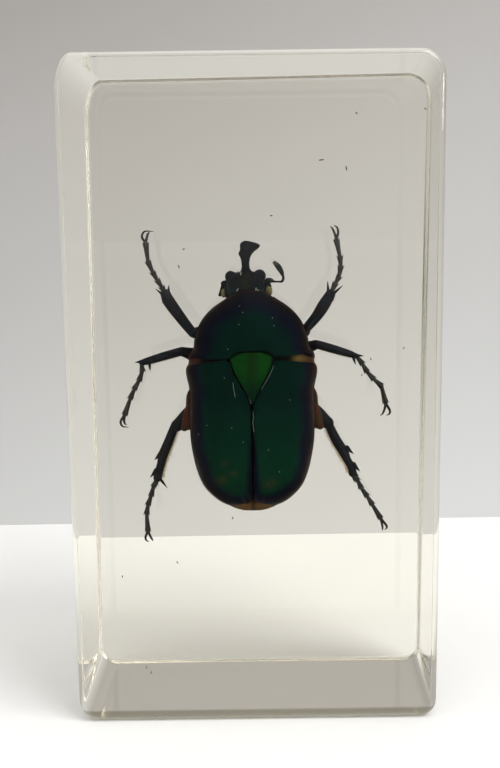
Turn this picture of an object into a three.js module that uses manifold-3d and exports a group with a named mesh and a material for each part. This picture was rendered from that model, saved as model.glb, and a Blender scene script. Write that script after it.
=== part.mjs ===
// Specimen block: a horned green flower chafer cast in a slab of clear resin.
// Units are millimetres and +Z is up. The block stands on its short end, with the origin at the
// middle of its base. The beetle's back faces -Y and its head points up.
import * as THREE from 'three';
import { mergeVertices } from 'three/addons/utils/BufferGeometryUtils.js';
import Module from 'manifold-3d';

const wasm = await Module();
wasm.setup();

// Resin block
const BLOCK_WIDTH = 40.5;
const BLOCK_DEPTH = 24;
const BLOCK_HEIGHT = 73;
const CORNER_RADIUS = 2.6;
const EDGE_ROUND = 1;
const BEETLE_PLACE = [0, -1.75, -0.3]; // where the beetle's own origin lies in the block

// Pocket that the beetle fills
const POCKET_NEAR_Y = -5.5;
const POCKET_FAR_Y = 7;
const LEG_SLOT_DEPTH = 2.8;
const LEG_SLOT_HALF_WIDTH = 1.3;

// Beetle. Its sizes, and the pocket's, are from its own origin
const LEG_PLANE_Y = 2.5; // the two castings of the resin meet in this plane
const BODY_X = -0.2;
const HEAD_X = -0.75; // the head is turned a little to the left
const MARGIN_Y = -0.6; // level of the rims of the elytra and the pronotum
const GAP = 0.3; // clearance between neighbouring pieces
const SHELL = 0.6; // thickness of an elytron and of the scutellum

const ELYTRA_DOME = { middle: 36, width: 7.65, height: 4.2, length: 12.4, power: 2.6 };
const PRONOTUM_DOME = { middle: 42.2, width: 7.2, height: 4.1, length: 6.9, power: 2.3 };
const BELLY_BALL = { middle: 35, width: 7.3, height: 5, length: 12.1, power: 2.2 };
const THORAX_TOP = 40.1;
const THORAX_BOTTOM = 35.5;

// Half outlines seen from the front, as [distance from the middle line, height]
const PRONOTUM_HALF = [
  [1.3, 48.3], [2.5, 47.6], [4.2, 46.3], [5.5, 44.9], [6.25, 43.1], [6.4, 42],
  [7, 41.2], [7.1, 40.6], [6.4, 40.6], [2.5, 40.9], [2.1, 41.5], [1.2, 41.75],
];
const ELYTRON = [
  [2.65, 40.2], [7.1, 40.2], [7.3, 39.4], [7.15, 37.7], [7, 36.5], [7.1, 33.5], [7.05, 31.4],
  [6.85, 29.6], [6.45, 27.8], [5.75, 26.1], [4.6, 24.8], [3.3, 24], [1.5, 23.7],
  [0.15, 24.2], [0.15, 35.5], [1.15, 37], [1.95, 38.6],
];
const SCUTELLUM_HALF = [[1.2, 41.35], [1.9, 41.1], [2.3, 40.5], [1.6, 38.6], [0.8, 37], [0.1, 35.9]];
const BODY_POCKET_HALF = [
  [2.2, 54.8], [2.4, 52.3], [4.7, 52.3], [4.7, 47.6], [7.8, 43.6], [8.1, 39],
  [7.8, 30], [6.6, 25.4], [3, 22.3],
];

// Legs as [x, y, z, radius] from the hip to the claws, in the plane of the legs past the knee.
// Spines run from a point on the leg to their own tips. The five links of the tarsus follow the
// end of the tibia, and two claws follow the last link.
const SPINE_RADIUS = 0.22;
const CLAW_RADIUS = 0.14;
const POINT_RADIUS = 0.04; // at the tip of a spine or claw
const TARSUS_THIN = 0.17;
const TARSUS_THICK = 0.3;
const JOINT_PART = 0.12; // part of a tarsus link that its narrow joint takes up, or sits in the tibia
const LEGS = {
  left_fore_leg: {
    femur: [[-1.9, 4.3, 43.2, 0.9], [-4.6, 3.5, 43.6, 0.95], [-6.7, 2.5, 43.5, 0.6]],
    tibia: [[-6.8, 43.4, 0.5], [-8.1, 45.1, 0.55], [-9.5, 47.1, 0.62], [-9.9, 48, 0.55]],
    spines: [[-9.6, 47.9, -9.5, 49], [-9.5, 47, -10.7, 47], [-9.8, 47.6, -11, 48.6]],
    tarsus: [[-10.3, 48.8], [-10.8, 49.6], [-11.3, 50.5], [-11.8, 51.7], [-12, 53.8]],
    claws: [[[-12.4, 54.5], [-11.1, 55.1]], [[-11.8, 54.6], [-11.5, 55]]],
  },
  left_mid_leg: {
    femur: [[-2, 5, 39.3, 0.9], [-5.5, 4, 40.5, 1], [-8.2, 2.5, 41.4, 0.55]],
    tibia: [[-8.3, 41.4, 0.5], [-10.2, 40.9, 0.42], [-12.3, 40.3, 0.33], [-12.9, 40.2, 0.28]],
    spines: [[-12.7, 40.3, -13.6, 40.2], [-12, 40.3, -11.9, 39.2]],
    tarsus: [[-12.8, 39.2], [-13.2, 38.1], [-13.8, 37.1], [-14.3, 36], [-15, 34.1]],
    claws: [[[-15.5, 33.3], [-14.6, 32.6]], [[-15.1, 33.4], [-14.8, 32.9]]],
  },
  left_hind_leg: {
    femur: [[-2.4, 5, 35.1, 1.1], [-6.4, 3.7, 34.3, 1.25], [-9, 2.5, 32.7, 0.55]],
    tibia: [[-9.3, 32.5, 0.42], [-10.2, 30.2, 0.5], [-11, 28, 0.58], [-11.4, 26.5, 0.5]],
    spines: [[-10.9, 28.8, -11.7, 28.2], [-11.4, 27, -12.2, 26.2], [-11.3, 26.7, -10.3, 25.3]],
    tarsus: [[-11.9, 25.5], [-12.2, 24.4], [-12.6, 23.3], [-12.8, 22.2], [-12.7, 20.1]],
    claws: [[[-13, 19.4], [-12.6, 18.8]], [[-12.4, 19.4], [-12.1, 18.9]]],
  },
  right_fore_leg: {
    femur: [[1.5, 4.3, 43.2, 0.9], [4, 3.5, 43.6, 0.95], [6, 2.5, 43.5, 0.6]],
    tibia: [[6, 43.7, 0.5], [7.3, 45.2, 0.55], [8.1, 46.4, 0.6], [8.9, 47.7, 0.6]],
    spines: [[8.7, 47.6, 8.6, 49.2], [8.5, 46.8, 9.6, 47.2], [8.9, 47.5, 10.3, 48.7]],
    tarsus: [[9.5, 49], [9.9, 49.7], [10.1, 50.9], [10, 52], [9.6, 53.9]],
    claws: [[[9.4, 54.6], [8.9, 55.4]], [[9.8, 54.7], [9.3, 55.5]]],
  },
  right_mid_leg: {
    femur: [[1.6, 5, 39.3, 0.9], [4.8, 4, 41, 1], [7.3, 2.5, 42, 0.55]],
    tibia: [[7.4, 42, 0.5], [9.4, 41.4, 0.43], [11, 40.9, 0.38], [11.9, 40.6, 0.3]],
    spines: [[11.7, 40.7, 12.7, 40.6], [11.5, 40.7, 11.8, 39.6]],
    tarsus: [[12.6, 39.7], [13.1, 38.8], [13.9, 37.9], [14.8, 37.1], [15.3, 35.1]],
    claws: [[[15.2, 34.4], [14.7, 33.6]], [[15.8, 34.2], [15.4, 33.6]]],
  },
  right_hind_leg: {
    femur: [[2, 5, 35.1, 1.1], [6.1, 3.7, 34.3, 1.25], [8.6, 2.5, 32.8, 0.55]],
    tibia: [[8.7, 32.6, 0.42], [9.5, 30.9, 0.48], [10.6, 28.7, 0.54], [11.4, 26.8, 0.48]],
    spines: [[10.4, 29.2, 11.4, 28.7], [11.2, 27.3, 12.2, 26.5], [11.4, 26.9, 11.7, 25.7]],
    tarsus: [[12.1, 25.9], [12.5, 25], [13.2, 24], [13.8, 23], [14.8, 21.3]],
    claws: [[[15, 20.5], [15, 19.8]], [[15.5, 20.4], [15.3, 19.9]]],
  },
};
const HIND_PLATE = { out: 6.8, y: 0.8, z: 35.7, radii: [1.1, 0.8, 1.3] };

const RIGHT_ANTENNA = [[2, 0.2, 49.4, 0.2], [3.5, 0.1, 49.6, 0.16], [3.1, 0, 50.4, 0.24], [2.6, 0, 51.5, 0.2]];
const LEFT_ANTENNA = [[-2.9, 1.3, 49.3, 0.2], [-1.9, 2.2, 50.1, 0.16], [-1.7, 2.3, 49.3, 0.24],
  [-1.5, 2.3, 48.4, 0.2]];

// Horn, as bars from the forehead to the tips of its fork
const HORN_SHAFT = [[HEAD_X, -1, 49.8, 0.6], [HEAD_X, -2, 51.4, 0.5], [HEAD_X + 0.1, -2.6, 52.9, 0.5]];
const HORN_FORK = [[[-0.65, -2.6, 52.9, 0.45], [0.8, -2.7, 53.3, 0.15]],
  [[-0.65, -2.6, 52.9, 0.45], [-0.95, -2.7, 53.8, 0.3]]];

const resinMaterial = new THREE.MeshStandardMaterial({
  color: 0xf3f0dc, roughness: 0.05, metalness: 0, transparent: true, opacity: 0.3,
});
const greenMaterial = new THREE.MeshStandardMaterial({ color: 0x0b2a1c, roughness: 0.25, metalness: 0.6 });
const scutellumMaterial = new THREE.MeshStandardMaterial({ color: 0x15551a, roughness: 0.25, metalness: 0.6 });
const headMaterial = new THREE.MeshStandardMaterial({ color: 0x12201d, roughness: 0.3, metalness: 0.5 });
const legMaterial = new THREE.MeshStandardMaterial({ color: 0x24221f, roughness: 0.35, metalness: 0.3 });
const bellyMaterial = new THREE.MeshStandardMaterial({ color: 0x4a2a1c, roughness: 0.4, metalness: 0.2 });

// Solids and meshes

function solid(geometry) {
  geometry.deleteAttribute('normal');
  geometry.deleteAttribute('uv');
  const merged = mergeVertices(geometry, 1e-5);
  return new wasm.Manifold(new wasm.Mesh({
    numProp: 3,
    vertProperties: new Float32Array(merged.attributes.position.array),
    triVerts: new Uint32Array(merged.index.array),
  }));
}

function union(solids) {
  return solids.reduce((whole, next) => whole.add(next));
}

function mesh(name, shape, material) {
  const result = shape.getMesh();
  const geometry = new THREE.BufferGeometry();
  geometry.setAttribute('position', new THREE.BufferAttribute(result.vertProperties, 3));
  geometry.setIndex(new THREE.BufferAttribute(result.triVerts, 1));
  geometry.computeVertexNormals();
  const piece = new THREE.Mesh(geometry, material);
  piece.name = name;
  return piece;
}

// An outline in x and z, as seen from the front, made solid from y = near to y = far
function prism(points, near, far) {
  const shape = new THREE.Shape(points.map(([x, z]) => new THREE.Vector2(x, z)));
  const geometry = new THREE.ExtrudeGeometry(shape, { depth: far - near, bevelEnabled: false });
  geometry.rotateX(Math.PI / 2);
  geometry.translate(0, far, 0);
  return solid(geometry);
}

// The full outline of a half one, mirrored about the beetle's middle line
function bothSides(half) {
  const right = half.map(([out, z]) => [BODY_X + out, z]);
  const left = half.map(([out, z]) => [BODY_X - out, z]).reverse();
  return [...right, ...left];
}

function oneSide(half, side) {
  return half.map(([out, z]) => [BODY_X + side * out, z]);
}

// The same outline pushed out from its middle
function grown(points, amount) {
  const middle = [0, 1].map((axis) => points.reduce((sum, point) => sum + point[axis], 0) / points.length);
  return points.map(([x, z]) => {
    const away = Math.hypot(x - middle[0], z - middle[1]);
    return [x + (x - middle[0]) * amount / away, z + (z - middle[1]) * amount / away];
  });
}

function box(low, high) {
  const size = high.map((value, axis) => value - low[axis]);
  const geometry = new THREE.BoxGeometry(...size);
  geometry.translate(...high.map((value, axis) => (value + low[axis]) / 2));
  return solid(geometry);
}

// A ball flattened towards a box: power 2 is round, and higher powers are squarer
function superBall(centre, radii, power, columns = 24, rows = 14) {
  const geometry = new THREE.SphereGeometry(1, columns, rows);
  geometry.rotateX(Math.PI / 2);
  const position = geometry.attributes.position;
  const point = new THREE.Vector3();
  for (let i = 0; i < position.count; i++) {
    point.fromBufferAttribute(position, i);
    const sum = point.toArray().reduce((total, value) => total + Math.abs(value) ** power, 0);
    point.multiplyScalar(sum ** (-1 / power));
    position.setXYZ(i, ...point.toArray().map((value, axis) => centre[axis] + value * radii[axis]));
  }
  return solid(geometry);
}

function dome(size, inset = 0) {
  const radii = [size.width - inset, size.height - inset, size.length - inset];
  return superBall([BODY_X, MARGIN_Y, size.middle], radii, size.power);
}

function ball(centre, radius, columns, rows) {
  const geometry = new THREE.SphereGeometry(radius, columns, rows);
  geometry.translate(...centre);
  return solid(geometry);
}

// A round bar bent along points [x, y, z, radius], with one ring of corners at every point.
// The rings keep one direction near Y, because legs, horn and antennae lie about flat in x and z.
function tube(points, sides = 5) {
  const links = points.length - 1;
  const geometry = new THREE.CylinderGeometry(1, 1, 1, sides, links);
  const centres = points.map(([x, y, z]) => new THREE.Vector3(x, y, z));
  const frames = centres.map((centre, i) => {
    const before = centres[Math.max(i - 1, 0)];
    const after = centres[Math.min(i + 1, links)];
    const along = after.clone().sub(before).normalize();
    const across = new THREE.Vector3(0, 1, 0).cross(along).normalize();
    return { centre, across, over: along.clone().cross(across) };
  });
  const position = geometry.attributes.position;
  for (let i = 0; i < position.count; i++) {
    const ring = Math.round((0.5 - position.getY(i)) * links);
    const { centre, across, over } = frames[ring];
    const corner = centre.clone()
      .addScaledVector(across, position.getX(i) * points[ring][3])
      .addScaledVector(over, position.getZ(i) * points[ring][3]);
    position.setXYZ(i, ...corner.toArray());
  }
  return solid(geometry);
}

function thicker(points, amount) {
  return points.map(([x, y, z, radius]) => [x, y, z, radius + amount]);
}

// Resin block

function wholeBlock() {
  const half = BLOCK_WIDTH / 2 - EDGE_ROUND;
  const low = EDGE_ROUND;
  const high = BLOCK_HEIGHT - EDGE_ROUND;
  const radius = CORNER_RADIUS - EDGE_ROUND;
  const quarter = Math.PI / 2;
  const outline = new THREE.Shape();
  outline.moveTo(-half + radius, low);
  outline.lineTo(half - radius, low);
  outline.absarc(half - radius, low + radius, radius, -quarter, 0);
  outline.lineTo(half, high - radius);
  outline.absarc(half - radius, high - radius, radius, 0, quarter);
  outline.lineTo(-half + radius, high);
  outline.absarc(-half + radius, high - radius, radius, quarter, 2 * quarter);
  outline.lineTo(-half, low + radius);
  outline.absarc(-half + radius, low + radius, radius, 2 * quarter, 3 * quarter);
  const geometry = new THREE.ExtrudeGeometry(outline, {
    depth: BLOCK_DEPTH - 2 * EDGE_ROUND,
    bevelThickness: EDGE_ROUND,
    bevelSize: EDGE_ROUND,
    bevelSegments: 2,
    curveSegments: 2,
  });
  geometry.rotateX(quarter);
  geometry.translate(0, BLOCK_DEPTH / 2 - EDGE_ROUND, 0);
  return solid(geometry);
}

function inLegPlane(points) {
  return points.map(([x, z, radius]) => [x, LEG_PLANE_Y, z, radius]);
}

// A slot of even width through the middles of one leg
function legSlot(leg) {
  const path = [leg.femur[1], ...inLegPlane([leg.tibia[0], leg.tibia.at(-1), leg.tarsus[2], leg.claws[0][0]])];
  const near = LEG_PLANE_Y - LEG_SLOT_DEPTH / 2;
  const parts = path.slice(1).map((to, i) => {
    const from = path[i];
    const [dx, dz] = [to[0] - from[0], to[2] - from[2]];
    const length = Math.hypot(dx, dz);
    const [sx, sz] = [-dz / length * LEG_SLOT_HALF_WIDTH, dx / length * LEG_SLOT_HALF_WIDTH];
    const [ex, ez] = [dx / length * LEG_SLOT_HALF_WIDTH, dz / length * LEG_SLOT_HALF_WIDTH];
    return prism([
      [from[0] - sx - ex, from[2] - sz - ez], [to[0] - sx + ex, to[2] - sz + ez],
      [to[0] + sx + ex, to[2] + sz + ez], [from[0] + sx - ex, from[2] + sz - ez],
    ], near, near + LEG_SLOT_DEPTH);
  });
  return union(parts);
}

function pocket() {
  const body = prism(bothSides(BODY_POCKET_HALF), POCKET_NEAR_Y, POCKET_FAR_Y);
  return union([body, ...Object.values(LEGS).map(legSlot)]);
}

const block = wholeBlock().subtract(pocket().translate(BEETLE_PLACE));
const sideReach = BLOCK_WIDTH;
const partingY = LEG_PLANE_Y + BEETLE_PLACE[1];
const frontSpace = box([-sideReach, -BLOCK_DEPTH, -1], [sideReach, partingY, BLOCK_HEIGHT + 1]);
const backSpace = box([-sideReach, partingY, -1], [sideReach, BLOCK_DEPTH, BLOCK_HEIGHT + 1]);

// Beetle

function legSolid(leg) {
  const limb = tube([...leg.femur, ...inLegPlane(leg.tibia)], 6);
  const spines = leg.spines.map(([x, z, tipX, tipZ]) => tube(
    inLegPlane([[x, z, SPINE_RADIUS], [tipX, tipZ, POINT_RADIUS]]), 4));
  const joints = [leg.tibia.at(-1), ...leg.tarsus];
  const tarsus = leg.tarsus.flatMap(([x, z], i) => {
    const [fromX, fromZ] = joints[i];
    const part = i === 0 ? -JOINT_PART : JOINT_PART;
    return [[fromX + (x - fromX) * part, fromZ + (z - fromZ) * part, TARSUS_THIN], [x, z, TARSUS_THICK]];
  });
  const end = leg.tarsus.at(-1);
  const claws = leg.claws.map(([bend, tip]) => tube(
    inLegPlane([[...end, CLAW_RADIUS], [...bend, CLAW_RADIUS], [...tip, POINT_RADIUS]]), 4));
  return union([limb, tube(inLegPlane(tarsus)), ...spines, ...claws]);
}

// The room that the thighs take in the underside of the body
function thighRoom(names) {
  return union(names.map((name) => {
    const [hip, middle, knee] = thicker(LEGS[name].femur, GAP);
    return tube([hip, middle, knee], 6).add(ball(hip.slice(0, 3), hip[3], 6, 4));
  }));
}

function elytron(side) {
  const shell = dome(ELYTRA_DOME).subtract(dome(ELYTRA_DOME, SHELL));
  const outline = prism(oneSide(ELYTRON, side), -BLOCK_DEPTH, MARGIN_Y);
  return shell.intersect(outline);
}

function scutellum() {
  const shell = dome(ELYTRA_DOME).subtract(dome(ELYTRA_DOME, SHELL));
  return shell.intersect(prism(bothSides(SCUTELLUM_HALF), -BLOCK_DEPTH, MARGIN_Y));
}

function pronotum() {
  const outline = prism(bothSides(PRONOTUM_HALF), -BLOCK_DEPTH, BLOCK_DEPTH);
  return dome(PRONOTUM_DOME).intersect(outline)
    .subtract(thighRoom(['left_fore_leg', 'right_fore_leg']));
}

// The body below the elytra: a belly, and a back that fits under the shells
function trunk(bottom, top) {
  const reach = BELLY_BALL.width + 2;
  const rim = MARGIN_Y + GAP;
  const belly = superBall([BODY_X, MARGIN_Y, BELLY_BALL.middle],
    [BELLY_BALL.width, BELLY_BALL.height, BELLY_BALL.length], BELLY_BALL.power);
  const back = dome(ELYTRA_DOME, SHELL + GAP);
  return belly.intersect(box([-reach, rim, bottom], [reach, BLOCK_DEPTH, top]))
    .add(back.intersect(box([-reach, -BLOCK_DEPTH, bottom], [reach, rim, top])));
}

function hindPlate(side, extra = 0) {
  return superBall([BODY_X + side * HIND_PLATE.out, HIND_PLATE.y, HIND_PLATE.z],
    HIND_PLATE.radii.map((radius) => radius + extra), 2, 12, 8);
}

function thorax() {
  const legs = thighRoom(['left_mid_leg', 'right_mid_leg', 'left_hind_leg', 'right_hind_leg']);
  return union([trunk(THORAX_BOTTOM, THORAX_TOP), hindPlate(-1), hindPlate(1)]).subtract(legs);
}

function abdomen() {
  const plates = hindPlate(-1, GAP).add(hindPlate(1, GAP));
  return trunk(0, THORAX_BOTTOM - GAP).subtract(plates)
    .subtract(thighRoom(['left_hind_leg', 'right_hind_leg']));
}

function head() {
  const skull = superBall([HEAD_X, -0.5, 49.1], [2.3, 1.8, 1.7], 2.4, 16, 10);
  const sides = [-1, 1].flatMap((side) => [
    ball([HEAD_X + side * 2.3, 0.1, 48.8], 0.72, 8, 6),
    ball([HEAD_X + side * 1.6, -0.6, 50], 0.72, 8, 6),
  ]);
  const horn = [HORN_SHAFT, ...HORN_FORK].map((points) => tube(points, 6));
  return union([skull, ...sides, ...horn])
    .subtract(prism(grown(bothSides(PRONOTUM_HALF), GAP), -BLOCK_DEPTH, BLOCK_DEPTH))
    .subtract(tube(thicker(RIGHT_ANTENNA, GAP)))
    .subtract(tube(thicker(LEFT_ANTENNA, GAP)));
}

// Assembly

function beetlePiece(name, shape, material) {
  return mesh(name, shape.translate(BEETLE_PLACE), material);
}

const group = new THREE.Group();
group.add(mesh('resin_front_half', block.intersect(frontSpace), resinMaterial));
group.add(mesh('resin_back_half', block.intersect(backSpace), resinMaterial));
group.add(beetlePiece('head', head(), headMaterial));
group.add(beetlePiece('left_antenna', tube(LEFT_ANTENNA), legMaterial));
group.add(beetlePiece('right_antenna', tube(RIGHT_ANTENNA), legMaterial));
group.add(beetlePiece('pronotum', pronotum(), greenMaterial));
group.add(beetlePiece('scutellum', scutellum(), scutellumMaterial));
group.add(beetlePiece('left_elytron', elytron(-1), greenMaterial));
group.add(beetlePiece('right_elytron', elytron(1), greenMaterial));
group.add(beetlePiece('thorax', thorax(), bellyMaterial));
group.add(beetlePiece('abdomen', abdomen(), bellyMaterial));
for (const [name, leg] of Object.entries(LEGS)) {
  group.add(beetlePiece(name, legSolid(leg), legMaterial));
}

export default group;
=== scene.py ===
import math
import random

import bmesh
import bpy
import numpy as np
from mathutils import Matrix, Vector


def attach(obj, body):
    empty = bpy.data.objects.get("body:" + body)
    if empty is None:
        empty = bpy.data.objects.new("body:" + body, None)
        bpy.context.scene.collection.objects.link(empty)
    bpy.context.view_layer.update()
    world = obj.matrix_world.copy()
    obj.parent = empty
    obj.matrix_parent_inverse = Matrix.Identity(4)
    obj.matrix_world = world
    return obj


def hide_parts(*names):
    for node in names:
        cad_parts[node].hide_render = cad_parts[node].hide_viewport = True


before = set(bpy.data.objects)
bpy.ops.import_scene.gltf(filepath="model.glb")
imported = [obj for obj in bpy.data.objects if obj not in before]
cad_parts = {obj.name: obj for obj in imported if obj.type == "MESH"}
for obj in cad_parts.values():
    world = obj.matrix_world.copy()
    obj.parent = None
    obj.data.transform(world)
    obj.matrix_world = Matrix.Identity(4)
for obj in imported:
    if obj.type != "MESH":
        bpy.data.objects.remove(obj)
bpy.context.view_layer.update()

MM = 0.001
NOWHERE = (0.0, 0.0, 0.0)
MERGE_DISTANCE = 0.0005
ROUND_END_ANGLES = (20, 50, 75, 88)
random.seed(7)

# Resin block
BLOCK_WIDTH = 40.5
BLOCK_DEPTH = 24.0
BLOCK_HEIGHT = 73.0
CORNER_RADII = {  # of the front outline, as (across, up)
    "low_left": (2.3, 2.3), "low_right": (1.9, 1.9), "top_right": (2.7, 2.9), "top_left": (1.9, 4.4),
}
FRONT_EDGE = 0.9
BACK_EDGE = 0.42
EDGE_STEPS = 8
SIDE_STEPS = (0.25, 0.5, 0.75, 0.985)  # rows of corners along the sides; the last bounds the frosted edge
FROST_FROM = 0.02  # the ground edge is frosted from this far off the back face
# Painted shade: a dark olive stretch of the frosted right rear edge, for the dark line that edge shows through
# the block
EDGE_SHADE_STRETCH = {"z": 50.0, "wide": 3.0, "high": 13.0}  # dark olive stretch of the right rear edge

# The back face is a little askew: how far its corners are off, in (x, z)
BACK_LOW_LEFT = (0.35, 0.5)
BACK_LOW_RIGHT = (0.35, 0.5)
BACK_TOP_LEFT = (1.0, -0.75)
BACK_TOP_RIGHT = (1.0, -0.35)

# Where the beetle's own origin lies in the block
BEETLE_PLACE = (0.0, -1.75, -0.3)

# Beetle. Its main sizes are those of the CAD solids
BODY_X = -0.2
HEAD_X = -0.75
MARGIN_Y = -0.6
LEG_PLANE_Y = 2.5
SHELL = 0.6
ELYTRA_HEIGHT = 4.2
PRONOTUM_HEIGHT = 4.1
ELYTRA_FULLNESS = 2.5  # the higher, the flatter the top of the dome
PRONOTUM_FULLNESS = 2.4
DOME_POWER = 1 / 2.1
BELLY = {"middle": 35.0, "width": 7.3, "height": 5.0, "length": 12.1, "power": 2.2}
THORAX_TOP = 40.1
THORAX_BOTTOM = 35.5
GAP = 0.3

# Half outlines seen from the front, as (distance from the middle line, height)
PRONOTUM_FRONT = [
    (1.25, 48.4), (2.55, 47.65), (4.4, 46.35), (5.65, 44.85), (6.3, 43.1), (6.45, 42.1), (7.0, 41.3),
    (7.1, 40.75),
]
PRONOTUM_RIGHT_REAR = [(6.75, 41.35), (3.9, 41.2), (2.5, 41.3), (2.05, 41.65), (1.3, 41.8)]
PRONOTUM_LEFT_REAR = [(6.6, 41.0), (3.9, 40.95), (2.55, 41.05), (2.1, 41.55), (1.3, 41.8)]
ELYTRON = [
    (2.6, 40.7), (4.6, 40.6), (6.6, 40.3), (7.15, 40.1), (7.35, 39.6), (7.3, 38.8), (7.05, 37.6),
    (6.98, 36.5), (7.05, 33.5), (6.98, 31.4), (6.72, 29.6), (6.3, 27.8), (5.6, 26.1), (4.45, 24.8),
    (3.25, 24.0), (2.2, 23.75), (1.2, 23.8), (0.2, 24.0), (0.15, 30.0), (0.15, 35.5), (0.3, 36.2),
    (1.15, 37.75), (2.05, 39.3),
]
ELYTRON_SIDE = slice(3, 16)  # from the shoulder to the tip
ELYTRON_RIM = slice(3, 18)  # the same, and on to the middle line
ELYTRON_END = slice(10, 17)  # where the outline curves in
# Where a painted highlight runs along the left rim
ELYTRON_SHINE = slice(10, 15)
ELYTRA_TIP_Z = 24.1
SCUTELLUM_SIDE_HALF = [(2.35, 41.05), (2.3, 40.5), (1.85, 39.3), (1.0, 37.75), (0.12, 36.15)]
SCUTELLUM_HALF = [(0.7, 41.7), (1.7, 41.5)] + SCUTELLUM_SIDE_HALF
NECK_BAND_HALF = [
    (1.5, 43.4), (4.5, 43.2), (6.0, 42.3), (6.8, 41.3), (7.1, 40.6), (7.0, 39.6), (5.0, 39.0), (2.0, 38.6),
]
RIM_MARGIN = 0.05
SMOOTH_TURNS = 12
BEAD_RADIUS = 0.07  # of the fine raised line along the rims
PRONOTUM_THICKNESS = 0.8

# Brown smudges on the wing-cases, as (x, z, size)
SMUDGES = [
    (BODY_X - 3.6, 27.2, 0.75), (BODY_X - 2.15, 27.9, 0.45), (BODY_X - 3.2, 29.2, 0.4),
    (BODY_X + 2.0, 26.7, 0.7),
]

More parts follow.
